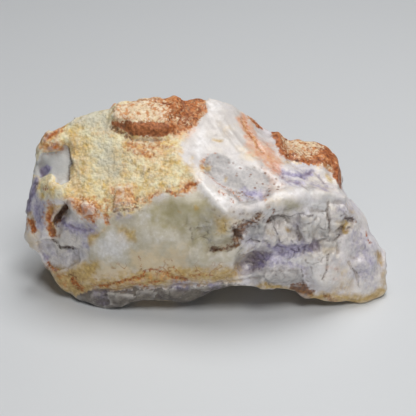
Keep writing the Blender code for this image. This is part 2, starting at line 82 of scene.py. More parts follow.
# Zones of each stain and finish, with their strengths.
ZONES = {
    "crust": [
        area(3.4, 1, (14, 150), (30, 112), (60, 92), (110, 80), (204, 80), (204, 112), (197, 122),
             (189, 132), (183, 141), (179, 149), (180, 157), (186, 165), (192, 171), (197, 178), (197, 186),
             (188, 191), (174, 196), (165, 192), (150, 199), (140, 209), (128, 217), (108, 216), (96, 211),
             (84, 214), (74, 204), (62, 197), (50, 198), (40, 200), (35, 190), (37, 178), (24, 172)),
    ],
    "chip": [
        area(1.2, 1, (42, 153), (58, 151), (65, 143), (69, 147), (71, 165), (70, 180), (63, 184), (57, 181),
             (50, 173), (40, 178), (30, 172), (36, 160)),
    ],
    "front": [
        area(5, 1, (84, 222), (112, 219), (130, 216), (150, 202), (172, 196), (196, 192), (216, 206),
             (230, 220), (242, 244), (236, 262), (200, 268), (150, 272), (84, 270), (90, 246)),
    ],
    "wisps": [
        area(6, 1, (98, 238), (110, 230), (124, 234), (130, 246), (122, 256), (104, 258), (94, 248)),
        area(4, 0.5, (92, 218), (104, 220), (100, 232), (90, 230)),
        area(6, 0.45, (134, 208), (150, 208), (156, 220), (140, 226)),
        area(7, 0.35, (146, 232), (172, 230), (176, 242), (150, 246)),
        area(4, 0.4, (202, 220), (212, 220), (214, 232), (202, 232)),
        area(3, 1, (303, 199), (326, 199), (329, 210), (318, 214), (304, 208)),
        area(4, 0.9, (312, 262), (327, 258), (330, 268), (318, 276)),
        area(3, 0.9, (282, 256), (300, 257), (306, 263), (290, 266), (280, 262)),
        area(3, 1, (312, 208), (328, 207), (328, 217), (315, 218)),
        area(4, 0.7, (262, 204), (278, 203), (276, 217), (264, 220)),
        area(5, 0.9, (308, 258), (326, 256), (336, 264), (344, 280), (330, 290), (308, 280)),
        area(5, 0.5, (352, 268), (372, 276), (376, 292), (356, 292)),
        area(5, 0.5, (332, 260), (346, 252), (350, 268), (346, 284), (334, 280)),
        area(3, 0.8, (222, 196), (232, 192), (240, 204), (232, 210)),
        area(4, 0.4, (300, 222), (324, 218), (326, 234), (304, 238)),
        area(5, 0.4, (336, 238), (352, 240), (350, 256), (338, 256)),
        area(3, 0.9, (193, 168), (200, 177), (212, 187), (222, 197), (232, 208), (222, 212), (206, 198),
             (190, 178)),
        area(4, 0.8, (198, 130), (204, 128), (206, 146), (200, 160), (194, 152)),
        area(5, 0.7, (206, 96), (222, 99), (226, 108), (210, 112)),
        area(2, 0.8, (230, 158), (244, 164), (242, 170), (232, 166)),
        line(6, 0.8, (275, 194), (300, 192), (334, 197)),
    ],
    # Painted shade: the band along the foot under the lip, and the pocket above it, darkened for the shade
    # they lie in.
    "shaded_band": [
        area(2, 1, (92, 290), (150, 289), (196, 287), (236, 284), (262, 288), (250, 296), (206, 300),
             (190, 306), (110, 312), (80, 310), (78, 296)),
        area(4, 0.85, (246, 262), (254, 252), (268, 252), (268, 264), (252, 271)),
        line(3, 0.9, (263, 256), (263, 264)),
    ],
    "veined": [
        area(6, 1, (96, 276), (120, 264), (150, 262), (196, 262), (240, 266), (244, 280), (196, 286),
             (150, 289), (96, 292)),
        area(4, 0.8, (112, 186), (136, 186), (136, 210), (112, 212)),
        area(5, 0.7, (50, 266), (84, 266), (92, 290), (70, 294)),
    ],
    "grey_green": [
        area(5, 0.85, (62, 116), (90, 106), (110, 104), (112, 124), (104, 131), (88, 127), (70, 124)),
        area(8, 0.7, (98, 142), (112, 136), (122, 150), (128, 165), (118, 180), (102, 178), (90, 162)),
        line(6, 0.5, (80, 190), (84, 206)),
        area(4, 0.5, (37, 150), (50, 157), (45, 166), (37, 172)),
        area(9, 0.85, (150, 202), (175, 196), (205, 200), (214, 212), (205, 226), (180, 232), (155, 226),
             (140, 214)),
        area(5, 0.7, (188, 220), (212, 216), (216, 232), (206, 247), (190, 244)),
        area(4, 0.8, (284, 199), (303, 199), (303, 210), (286, 213)),
        area(4, 0.9, (96, 122), (112, 123), (118, 134), (102, 136)),
    ],
    # Grey ground, and painted shade under the overhang, in a hollow and in a recess.
    "grey": [
        area(1.3, 1, (203, 162), (209, 156), (216, 153), (224, 154), (230, 160), (235, 164), (230, 176),
             (236, 190), (236, 197), (231, 190), (225, 186), (216, 181), (210, 177), (204, 172)),
        area(5, 1.35, (212, 160), (232, 162), (244, 168), (262, 172), (274, 182), (270, 196), (240, 198),
             (228, 186), (214, 176)),
        area(5, 0.9, (250, 266), (300, 268), (305, 285), (268, 288), (250, 280)),
        # painted shade under the overhang
        area(5, 0.3, (278, 214), (326, 214), (326, 236), (300, 244), (278, 228)),
        area(3, 0.3, (56, 225), (88, 232), (84, 248), (80, 262), (62, 270), (44, 262), (40, 247),
             (52, 240)),
        area(6, 0.3, (330, 206), (352, 206), (366, 232), (378, 260), (384, 285), (372, 296), (352, 292),
             (350, 262), (338, 240)),
        # painted shade in the hollow under the purple veins
        area(3, 0.8, (300, 184), (316, 184), (318, 194), (306, 194)),
        area(4, 0.9, (226, 184), (246, 186), (258, 194), (256, 205), (238, 206), (228, 196)),
        area(4, 1.1, (248, 221), (263, 221), (263, 236), (249, 238)),
        # painted shade in a recess
        area(3, 0.8, (320, 234), (336, 233), (336, 246), (322, 248)),
        area(4, 0.6, (357, 240), (374, 244), (377, 256), (362, 257)),
        area(5, 0.5, (190, 222), (214, 218), (214, 244), (192, 246)),
    ],
    "lilac": [
        area(1.5, 1.3, (41, 167), (48, 165), (51, 168), (47, 173), (40, 178)),
        line(4, 1, (36, 181), (33, 190), (29, 202), (27, 210)),
        line(8, 0.8, (37, 206), (40, 222)),
        line(6.5, 0.95, (60, 219), (70, 226), (80, 230), (90, 229)),
        line(6, 0.4, (84, 232), (86, 244)),
        area(2.5, 1, (41, 252), (50, 256), (48, 263), (43, 258)),
        area(5, 0.5, (236, 263), (244, 259), (256, 249), (270, 250), (274, 262), (262, 270), (248, 272),
             (240, 276)),
        area(4, 0.75, (262, 251), (284, 254), (282, 266), (262, 268)),
        area(4, 0.5, (280, 172), (298, 176), (296, 186), (284, 182)),
        line(7, 0.6, (262, 257), (262, 263)),
        area(4, 0.85, (262, 243), (285, 242), (316, 241), (318, 250), (300, 256), (285, 259), (268, 250)),
        line(5, 0.5, (282, 250), (288, 257)),
        line(4, 0.55, (270, 263), (292, 264), (306, 268)),
        line(4.5, 0.95, (274, 166), (284, 174), (295, 176), (304, 177), (311, 172)),
        line(3.5, 0.7, (282, 178), (292, 183), (302, 184)),
        line(3, 0.5, (316, 173), (321, 178), (324, 184)),
        line(3.5, 0.5, (312, 184), (326, 189)),
        area(3, 0.8, (240, 190), (258, 190), (268, 192), (262, 199), (244, 199)),
        area(8, 0.4, (350, 228), (368, 232), (380, 262), (374, 290), (358, 284), (352, 256)),
        line(6, 0.55, (369, 256), (372, 268)),
        line(8, 0.35, (334, 212), (350, 208)),
        area(3, 0.6, (172, 281), (190, 281), (190, 289), (173, 289)),
        area(3, 0.6, (208, 282), (221, 281), (220, 289), (209, 289)),
        area(4, 0.3, (92, 291), (110, 289), (110, 306), (96, 306)),
        area(4, 0.4, (111, 209), (134, 209), (134, 219), (112, 221)),
        line(9, 0.25, (46, 246), (60, 258), (72, 252)),
        line(4, 0.45, (296, 222), (298, 242)),
        line(7, 0.3, (240, 244), (262, 240), (276, 238)),
    ],
    "cream": [
        area(4, 0.7, (318, 240), (336, 240), (337, 258), (322, 260)),
        area(7, 0.5, (328, 262), (350, 262), (352, 285), (330, 290), (314, 282)),
        area(4, 0.4, (300, 216), (316, 216), (316, 234), (302, 236)),
        area(4, 0.8, (24, 231), (38, 231), (40, 246), (34, 252), (26, 246)),
        area(5, 0.8, (112, 190), (134, 190), (136, 208), (112, 210)),
        area(4, 0.7, (238, 147), (256, 147), (258, 160), (240, 161)),
        area(6, 0.6, (205, 208), (240, 216), (262, 212), (262, 222), (232, 226), (214, 224)),
        area(5, 0.35, (264, 194), (284, 196), (284, 212), (262, 210)),
        area(8, 0.7, (130, 250), (188, 246), (190, 282), (130, 282)),
        area(8, 0.7, (90, 262), (132, 262), (132, 284), (92, 284)),
        line(5, 0.8, (340, 225), (349, 226)),
        area(6, 0.5, (220, 122), (236, 124), (234, 134), (222, 134)),
        area(6, 0.5, (190, 264), (240, 262), (240, 282), (190, 282)),
        line(5, 0.3, (272, 190), (300, 188), (330, 194)),
        area(6, 0.2, (250, 262), (270, 262), (270, 290), (240, 290)),
    ],
    "ochre": [
        area(5, 1.05, (50, 264), (66, 270), (84, 262), (96, 262), (96, 290), (82, 300), (60, 292),
             (48, 274)),
        area(5, 1, (96, 278), (150, 270), (196, 268), (240, 268), (240, 280), (190, 284), (150, 287),
             (96, 291)),
        area(2.5, 1.2, (46, 206), (62, 205), (60, 214), (54, 224), (56, 236), (48, 234), (45, 220)),
        line(3, 0.8, (30, 212), (32, 224)),
        line(5, 1.1, (92, 241), (96, 235)),
        line(3.5, 0.5, (101, 231), (104, 228)),
        area(5, 1.3, (118, 229), (134, 231), (134, 240), (120, 239)),
        area(4, 0.8, (216, 217), (229, 219), (228, 232), (218, 233)),
        line(2.4, 0.8, (213, 139), (222, 141)),
        line(3.6, 0.9, (202, 168), (207, 169)),
        line(2, 0.6, (226, 178), (226, 180)),
        line(6, 1.3, (262, 287), (282, 292), (300, 297), (330, 299), (352, 302), (370, 300), (381, 292)),
        line(3.5, 0.9, (378, 254), (381, 262)),
        line(4, 0.5, (382, 270), (385, 280), (380, 294)),
        line(6, 0.5, (340, 283), (348, 292)),
        area(4, 0.5, (330, 284), (352, 284), (352, 296), (332, 296)),
        line(3, 0.8, (104, 302), (128, 302)),
        line(2.6, 0.7, (196, 207), (198, 209)),
        line(2.4, 0.6, (179, 211), (182, 212)),
        line(3, 0.4, (174, 228), (176, 229)),
        line(2.6, 0.8, (327, 176), (331, 181)),
        line(3, 0.4, (242, 256), (252, 248)),
        line(4, 0.4, (348, 205), (354, 216)),
        line(2, 0.8, (342, 272), (343, 274)),
        line(3.6, 1.2, (345, 223), (345, 231)),
        line(2, 0.7, (286, 228), (288, 230)),
        line(3, 0.6, (268, 232), (272, 235)),
        line(3, 0.5, (194, 154), (192, 160)),
        line(7, 0.7, (190, 168), (195, 182)),
        area(6, 0.6, (66, 196), (96, 198), (96, 214), (76, 214)),
        area(14, 0.45, (120, 150), (150, 140), (176, 150), (180, 176), (150, 190), (128, 182)),
        line(8, 0.8, (74, 140), (78, 170), (74, 196)),
        line(5, 0.5, (96, 132), (110, 134)),
        line(7, 0.5, (122, 160), (126, 190)),
        line(6, 0.5, (44, 144), (58, 146)),
    ],
    "orange": [
        line(6, 1, (46, 139), (52, 136), (60, 130)),
        line(6.5, 0.9, (44, 147), (60, 147)),
        line(6, 0.8, (50, 206), (48, 216), (50, 228), (53, 234)),
        area(4, 1.1, (66, 197), (86, 200), (97, 209), (94, 222), (82, 218), (72, 208)),
        line(4.5, 0.9, (30, 222), (33, 230)),
        area(4, 0.9, (80, 196), (98, 198), (104, 209), (99, 217), (84, 211)),
        line(4, 0.5, (47, 263), (58, 274), (66, 286)),
        area(5, 0.5, (110, 186), (136, 184), (138, 206), (110, 212)),
        area(3.6, 0.62, (164, 188), (182, 186), (190, 178), (200, 182), (192, 192), (176, 198)),
        line(5, 0.45, (142, 202), (160, 193)),
        line(7, 0.7, (128, 146), (142, 149), (150, 154)),
        line(4, 0.7, (106, 200), (107, 222)),
        line(3, 0.6, (243, 120), (247, 129), (252, 139), (258, 148)),
        line(4, 0.4, (256, 146), (264, 152), (271, 160)),
        line(3.2, 0.9, (250, 118), (258, 126)),
        line(5, 0.42, (94, 286), (134, 281), (160, 276), (184, 280)),
        line(2.6, 0.4, (300, 299), (330, 302)),
        line(2.6, 0.7, (203, 161), (202, 170)),
        line(3, 0.4, (264, 198), (268, 207)),
        line(3.5, 0.3, (340, 226), (346, 230)),
    ],
    "rust": [
        line(3, 1, (47, 138), (52, 136), (58, 131)),
        line(2.6, 1, (49, 148), (57, 147)),
        line(2, 0.7, (45, 187), (46, 190)),
        line(3.6, 1, (49, 217), (50, 228), (53, 234)),
        line(2.4, 0.7, (56, 208), (52, 216)),
        area(3, 0.95, (70, 202), (84, 204), (94, 211), (93, 219), (84, 216), (76, 208)),
        line(2.2, 0.8, (93, 216), (93, 223)),
        area(3, 0.9, (82, 202), (96, 204), (98, 214), (86, 214)),
        line(2, 0.8, (106, 214), (107, 222)),
        line(3, 0.9, (31, 221), (33, 229)),
        line(2, 1, (48, 264), (56, 271)),
        line(3.4, 0.8, (74, 280), (78, 286), (82, 290)),
        line(2, 0.75, (100, 286), (118, 282), (134, 279), (145, 276)),
        line(1.6, 0.45, (140, 256), (141, 268), (146, 278)),
        line(2, 0.75, (139, 279), (146, 271), (156, 269), (164, 272)),
        line(2, 0.7, (166, 272), (173, 278), (181, 279), (188, 281)),
        line(1.4, 0.5, (172, 260), (176, 272)),
        line(1.8, 0.5, (190, 276), (202, 274), (214, 275)),
        line(2, 0.6, (150, 283), (162, 281)),
        line(2, 0.7, (130, 283), (146, 287)),
        line(2.4, 0.75, (168, 190), (172, 193), (175, 196)),
        line(2.6, 0.8, (184, 188), (190, 185), (196, 184)),
        line(2, 0.6, (182, 192), (186, 188)),
        line(2, 0.6, (151, 198), (156, 194)),
        line(1.8, 0.5, (134, 192), (134, 208)),
        line(1.6, 0.5, (247, 131), (251, 139)),
        line(2.2, 1, (251, 119), (256, 123)),
        line(2.2, 0.9, (257, 126), (261, 129)),
        line(1.2, 0.45, (203, 161), (209, 155), (217, 153)),
        line(1.4, 0.6, (204, 173), (212, 179), (220, 184)),
        line(1.4, 0.6, (221, 185), (230, 189), (236, 196), (242, 200)),
        line(2.4, 0.8, (219, 192), (225, 195)),
        line(2, 0.6, (229, 199), (234, 203)),
        line(1.5, 0.9, (366, 231), (367, 234)),
        line(1.6, 0.8, (368, 239), (370, 243)),
        line(1.6, 0.7, (273, 209), (270, 217), (267, 224)),
        line(2.4, 0.5, (328, 299), (336, 300)),
    ],
    "brown": [
        area(4, 1, (233, 224), (246, 221), (245, 231), (239, 243), (231, 246), (232, 236)),
        line(4.5, 0.8, (246, 224), (256, 221), (259, 213)),
        line(3.6, 0.8, (212, 248), (222, 249)),
        line(3.6, 0.8, (226, 248), (238, 244)),
        line(5, 1, (67, 205), (61, 213), (57, 221)),
        # a dark crack, and painted shadow under the wall's left end
        line(3.6, 0.9, (114, 127), (122, 132), (131, 139)),
        area(5, 0.45, (112, 198), (142, 198), (142, 211), (114, 213)),
        line(3, 0.55, (228, 190), (238, 194), (250, 198)),
        area(2, 1.1, (291, 285), (304, 283), (314, 290), (311, 297), (296, 297), (288, 292)),
        line(4, 0.6, (72, 276), (78, 288)),
        line(3.6, 0.6, (346, 217), (354, 220)),
        line(3, 0.8, (324, 296), (332, 299)),
        line(2.4, 0.6, (278, 292), (290, 295)),
    ],
    "peach": [
        line(5.5, 1.1, (242, 117), (247, 128), (252, 138), (258, 147)),
        line(9, 1.15, (256, 146), (264, 151), (270, 157), (275, 166)),
        line(5, 0.8, (252, 142), (256, 150)),
        area(8, 0.3, (260, 158), (280, 168), (285, 190), (268, 196), (262, 180)),
        area(5, 0.8, (170, 122), (194, 124), (196, 131), (180, 138), (170, 138)),
        area(8, 0.5, (128, 143), (152, 140), (176, 152), (160, 158), (132, 156)),
        area(5, 0.7, (110, 186), (134, 186), (136, 206), (112, 208)),
        area(4, 0.7, (182, 178), (199, 180), (196, 190), (182, 192)),
        line(5, 0.5, (143, 200), (160, 192)),
        area(8, 0.25, (318, 262), (345, 262), (345, 282), (320, 280)),
    ],
    "slab": [
        area(3, 1, (156, 90), (206, 84), (206, 108), (201, 118), (196, 125), (188, 131), (176, 136),
             (166, 134), (164, 122), (160, 112), (154, 104)),
        area(2.5, 0.75, (112, 112), (118, 104), (132, 98), (160, 90), (170, 108), (166, 121), (138, 121),
             (114, 122)),
        area(1.4, 1, (269, 124), (284, 130), (300, 130), (330, 134), (340, 158), (344, 182), (342, 190),
             (337, 184), (331, 172), (319, 165), (304, 163), (291, 162), (281, 153), (272, 138)),
        area(6, 0.34, (120, 138), (140, 141), (170, 140), (178, 148), (160, 156), (134, 154)),
    ],
    "wall": [
        area(1.3, 1, (112, 122), (120, 120), (138, 121), (158, 121), (167, 123), (171, 129), (167, 136),
             (152, 138), (139, 138), (130, 135), (122, 129), (113, 126)),
        line(5, 1, (318, 150), (326, 150), (332, 160)),
        line(3, 1, (332, 160), (337, 172), (340, 184)),
        line(3.4, 0.9, (275, 137), (281, 147), (290, 159)),
        line(2.6, 0.9, (290, 159), (304, 161), (318, 161), (328, 166)),
        line(3, 1, (181, 98), (183, 106)),
        line(3.6, 0.7, (172, 112), (178, 117), (190, 112)),
        line(3, 0.8, (148, 99), (156, 102)),
    ],
    "grains": [
        area(3, 1, (112, 112), (120, 104), (136, 101), (150, 106), (164, 110), (170, 117), (158, 120),
             (136, 120), (114, 121)),
        area(3, 0.7, (128, 104), (150, 97), (166, 102), (172, 112), (150, 110)),
        line(4, 1, (137, 141), (150, 140), (160, 140)),
        line(5, 0.6, (168, 116), (178, 120), (186, 123)),
        area(5, 0.8, (284, 133), (304, 134), (320, 138), (322, 148), (308, 157), (290, 154), (282, 142)),
        line(2.6, 0.9, (318, 165), (330, 168)),
        line(2.2, 0.7, (286, 162), (300, 163)),
        line(4, 0.8, (96, 212), (102, 216)),
        line(6, 0.6, (78, 203), (90, 205)),
    ],
    "specks": [
        area(4, 1, (232, 162), (250, 166), (270, 168), (282, 180), (282, 196), (262, 200), (238, 200),
             (236, 180)),
        area(4, 0.45, (204, 158), (222, 150), (236, 162), (222, 186), (206, 178)),
        area(3, 0.9, (216, 190), (234, 192), (236, 206), (218, 204)),
        area(5, 0.5, (204, 206), (262, 200), (262, 216), (220, 222)),
        area(6, 0.3, (122, 142), (176, 142), (176, 190), (122, 190)),
        area(6, 0.25, (262, 200), (350, 200), (380, 290), (262, 290)),
    ],
    # Dark cracks, and painted shadow under a facet in the notch and beside the ledge.
    "dark_cracks_and_shade": [
        line(3, 0.45, (37, 181), (33, 192), (29, 204)),
        line(1.6, 0.75, (52, 239), (57, 242), (61, 247), (66, 246), (75, 249)),
        line(2.4, 1, (66, 206), (62, 211), (59, 215)),
        line(1.8, 0.8, (60, 214), (56, 219), (54, 224)),
        line(1.6, 1, (147, 169), (147, 171)),
        line(1.6, 0.6, (69, 147), (70, 158), (70, 178)),
        # painted shadow under a facet, in the notch
        line(2, 0.8, (346, 218), (353, 219)),
        line(1.5, 0.5, (341, 228), (341, 233), (336, 238)),
        line(1.3, 0.6, (329, 202), (328, 216), (328, 232)),
        line(1.2, 0.6, (328, 255), (327, 272), (322, 280)),
        # painted shadow beside the ledge
        line(2, 0.5, (297, 228), (298, 240)),
        line(1.4, 0.6, (340, 216), (346, 212)),
        line(1.3, 0.7, (302, 214), (312, 216)),
        line(3, 0.8, (234, 228), (240, 236)),
        line(2.6, 0.6, (246, 226), (256, 228)),
        line(2.2, 0.8, (212, 249), (221, 249)),
        line(1.4, 0.6, (265, 278), (272, 287)),
        line(1.4, 0.6, (302, 270), (303, 284)),
        line(1.4, 0.5, (276, 268), (278, 278)),
        line(1.5, 0.5, (348, 261), (357, 273)),
        line(1.2, 0.45, (361, 270), (359, 289)),
        line(2.2, 0.8, (295, 160), (297, 161)),
        line(2, 0.5, (191, 228), (192, 240)),
        line(1.6, 0.4, (204, 218), (210, 226), (208, 236)),
    ],
}

# Where the solid is a little fuller than the outline in the photograph: the way in, and the places.
FULL_PLACES = [
    ((-3.0, 0.0, 0.0), [
        area(7, 1, (345, 158), (395, 158), (395, 198), (354, 198), (345, 188)),
        area(6, 0.5, (368, 210), (400, 210), (400, 234), (376, 234)),
        area(4, 0.5, (389, 256), (410, 256), (410, 268), (389, 268)),
    ]),
    ((0.0, 0.0, -2.2), [
        area(3.5, 1, (280, 110), (296, 110), (293, 146), (283, 146)),
        area(4, 0.4, (252, 100), (274, 108), (274, 140), (258, 132)),
        area(3, 0.3, (110, 75), (198, 75), (194, 104), (150, 106), (114, 112)),
    ]),
]

# Dull and wet places: how wet the surface is.
WET = [
    area(4, 0.55, (200, 100), (240, 108), (262, 132), (280, 150), (330, 170), (346, 200), (330, 210),
         (262, 205), (226, 214), (205, 196), (198, 176), (182, 158), (184, 140), (206, 120)),
    line(6, 0.8, (205, 120), (230, 140), (262, 175)),
    line(6, 0.9, (196, 176), (212, 190), (228, 208)),
    line(8, 0.9, (310, 200), (330, 203)),
    area(6, 0.7, (262, 205), (352, 205), (386, 272), (370, 284), (316, 276), (262, 282), (240, 262),
         (240, 226)),
    area(3, 0.4, (40, 150), (70, 145), (70, 183), (40, 183)),
    area(4, 0.4, (40, 240), (84, 232), (84, 266), (50, 270)),
    area(8, 0.45, (150, 200), (215, 200), (240, 240), (240, 280), (150, 280)),
]

# The white slope, with its fine grain.
SLOPE = [
    area(5, 1, (206, 100), (240, 108), (262, 132), (276, 152), (276, 168), (240, 164), (222, 150),
         (204, 156), (190, 168), (182, 156), (186, 138)),
]

# Walls and sunk plates: outline, how far raised in millimetres, wall in pixels.
PLATES = [
    ([(111, 118), (118, 108), (140, 98), (165, 92), (178, 96), (170, 118), (168, 123), (160, 121),
      (138, 121), (120, 119)], 0.15, 2.5),
    ([(65, 143), (69, 147), (71, 165), (70, 180), (63, 184), (57, 181), (50, 173), (40, 178), (36, 165),
      (42, 153), (58, 151)], -0.6, 2.4),
    ([(36, 243), (52, 239), (57, 242), (61, 247), (66, 246), (78, 249), (80, 262), (60, 271), (42, 262)],
      -0.5, 1.6),
    ([(300, 214), (328, 212), (328, 236), (314, 240), (312, 222), (300, 222)], 0.5, 2),
    ([(329, 204), (344, 204), (350, 218), (342, 224), (330, 232)], 0.45, 1.8),
    ([(258, 268), (300, 270), (303, 286), (266, 288)], -0.35, 2),
    ([(236, 264), (256, 250), (272, 252), (262, 268), (240, 276)], -0.35, 3),
    ([(318, 241), (336, 240), (336, 256), (322, 258)], 0.45, 2),
    ([(190, 247), (208, 252), (236, 250), (240, 262), (206, 266), (190, 262)], 0.2, 3),
    ([(62, 199), (70, 198), (97, 208), (95, 214), (80, 218), (70, 208)], 0.4, 2.5),
    ([(116, 186), (134, 186), (136, 206), (114, 210)], 0.3, 3),
    ([(226, 156), (244, 152), (262, 162), (262, 170), (244, 166), (230, 162)], 0.2, 2.4),
]

# Ridges, cracks and edges: path, half width in pixels, how far raised in millimetres.
LINES = [
    ([(52, 239), (57, 242), (61, 247), (66, 246), (75, 249)], 2.6, -0.6),
    ([(66, 206), (62, 212), (57, 219), (55, 224)], 3.4, -1.6),
    ([(50, 208), (49, 220), (52, 234)], 5, -0.5),
    ([(329, 202), (328, 216), (328, 233)], 2.2, -0.5),
    ([(300, 213), (313, 216)], 2, -0.4),
    ([(273, 209), (271, 216), (268, 222), (265, 228)], 2.4, -0.5),
    ([(328, 255), (327, 272), (322, 280)], 2.2, -0.45),
    ([(346, 219), (353, 220)], 4, -0.7),
    ([(341, 226), (342, 234), (335, 239)], 2.2, -0.5),
    ([(345, 226), (345, 229)], 5, 0.5),
    ([(297, 228), (298, 241)], 3, -0.3),
    ([(236, 230), (240, 240)], 5, -0.6),
    ([(212, 248), (221, 249)], 3, -0.5),
    ([(226, 248), (240, 244)], 2.6, -0.4),
    ([(265, 278), (272, 288)], 1.8, -0.3),
    ([(302, 270), (303, 285)], 1.8, -0.35),
    ([(348, 261), (357, 274), (360, 289)], 3, -0.45),
    ([(182, 101), (184, 107)], 3, -0.6),
    ([(274, 166), (284, 174), (295, 176), (304, 177), (311, 172)], 3, -0.35),
    ([(282, 178), (292, 182), (302, 184), (311, 192)], 2.6, -0.45),
    ([(316, 173), (321, 178), (324, 184)], 2.6, -0.3),
    ([(300, 170), (316, 168), (328, 176)], 3.2, 0.3),
    ([(306, 180), (318, 186), (330, 188)], 2.8, 0.3),
    ([(270, 192), (300, 190), (330, 194), (344, 198)], 4, 0.35),
    ([(312, 204), (326, 206)], 5, 0.45),
    ([(220, 192), (230, 196), (236, 203)], 5, 0.5),
    ([(190, 172), (204, 186), (214, 200), (226, 214)], 5, 0.35),
    ([(228, 128), (246, 150)], 3, 0.15),
    ([(218, 122), (238, 148)], 3, -0.15),
    ([(210, 118), (230, 146)], 3, 0.15),
    ([(242, 117), (252, 138), (262, 151)], 2.6, -0.3),
    ([(139, 278), (146, 270), (162, 270)], 2, -0.2),
    ([(166, 272), (173, 278), (186, 281)], 2.2, -0.25),
    ([(100, 286), (134, 279), (146, 276)], 2.2, -0.25),
    ([(96, 291), (150, 288), (200, 285), (240, 281), (262, 276)], 2.6, -0.45),
    ([(107, 203), (107, 222)], 2, -0.3),
    ([(60, 219), (70, 226), (82, 231), (90, 229)], 2.6, -0.3),
    ([(130, 133), (134, 141), (160, 140)], 3, -0.45),
]

# The broken part of the visible side, where the stone has come away in small steps.
BROKEN = [
    area(5, 1, (232, 222), (262, 208), (300, 210), (345, 203), (354, 226), (350, 246), (330, 260),
         (300, 260), (262, 246), (240, 256), (226, 250)),
    area(8, 0.5, (240, 250), (300, 256), (314, 246), (320, 262), (314, 284), (262, 290), (236, 276)),
    area(8, 0.14, (318, 246), (352, 240), (386, 262), (386, 296), (366, 303), (316, 290)),
    area(8, 0.6, (190, 222), (234, 216), (236, 252), (192, 252)),
    area(6, 0.3, (24, 214), (44, 206), (90, 222), (86, 262), (50, 282), (24, 250)),
    area(4, 0.6, (90, 290), (240, 284), (262, 290), (200, 300), (100, 310)),
]

# Relief of each kind of ground: height in millimetres, size in millimetres, seed.
BROKEN_STEPS = [(0.6, 6.2, 11), (0.12, 2.8, 12)]
CRUST_BUMPS = [(0.26, 2.8, 3), (0.22, 1.3, 4), (0.12, 0.8, 7)]
BARE_BUMPS = [(0.28, 4.4, 5), (0.12, 1.7, 6)]

# Streaks of the white slope: share, size in millimetres, seed. Then their height and how far drawn out.
GRAIN_STREAKS = [(0.6, 1.5, 41), (0.4, 0.8, 42)]
SLOPE_GRAIN_HEIGHT = 0.10
GRAIN_DRAWN_OUT = 0.86

# How squarely a point faces the camera where it starts to count as seen, and how much more is fully seen.
SEEN_FROM = -0.05
SEEN_OVER = 0.25

# The foot, in millimetres: flat at first, then plain, and broken above that on the hidden side.
FLAT_FOOT = 0.8
PLAIN_FOOT = 3
PLAIN_FOOT_FADE = 4
HIDDEN_BROKEN = 0.8

# Painted shade on the underside, laid on as an earthy ochre: how low it reaches and fades, in millimetres,
# and its strength.
UNDERSIDE_SHADE_TOP = 9
UNDERSIDE_SHADE_FADE = 4
UNDERSIDE_SHADE = 0.7

# How far places sway, in pixels, over bumps of a size in millimetres, with a seed across and one down.
EDGE_SWAY = [(2.2, 3.6, 31, 32), (1.1, 1.3, 33, 34)]
HIDDEN_SWAY = [(16, 14.0, 21, 22), (9, 4.5, 23, 24)]

# Where the hidden side looks for its colours: pixels per millimetre across and up, and the foot's line.
HIDDEN_ACROSS = 3.7
HIDDEN_UP = 4.15
HIDDEN_FOOT = 302

# Small and large hollows: rounds of wear that level them, and the depth in millimetres that counts as one.
WEAR_ROUNDS = (5, 30)
HOLLOW_DEPTHS = (0.12, 0.5)

# The material's noises: size of the bumps in millimetres, detail.
NOISES = {
    "broad": (8.0, 3.0), "middle": (2.6, 3.0), "fine": (0.8, 4.0), "finest": (0.35, 2.0),
    "clumps": (1.7, 5.0), "clouds": (7.0, 3.0), "grainy": (0.5, 3.0),
}
# Sizes of cells, in millimetres.
SUGAR = 0.75
SPECK = 1.3
PEBBLE = 0.9
CRACKED_PLATE = 5.2
CRACK_BEND = 3.0
# Flat broken cells: size in millimetres, steepness.
CLEAVED = [(4.6, 0.55), (1.9, 0.4)]

# Heights of the finest relief, in millimetres.
BARE_GRAIN = 0.06
ROUGH_GRAIN = 0.19
PEBBLE_HEIGHT = 0.22
STREAK_HEIGHT = 0.10
CRACK_DEPTH = 0.3
# How much of the flat cells shows on unbroken ground.
CLEAVED_EVERYWHERE = 0.06

# Roughness of a dry break, what wetness takes off and the crust adds, its unevenness, and the wet coat.
DRY_ROUGHNESS = 0.56
WET_GLOSS = 0.26
CRUST_DULLNESS = 0.1
UNEVEN_GLOSS = 0.35
WET_COAT = 0.35

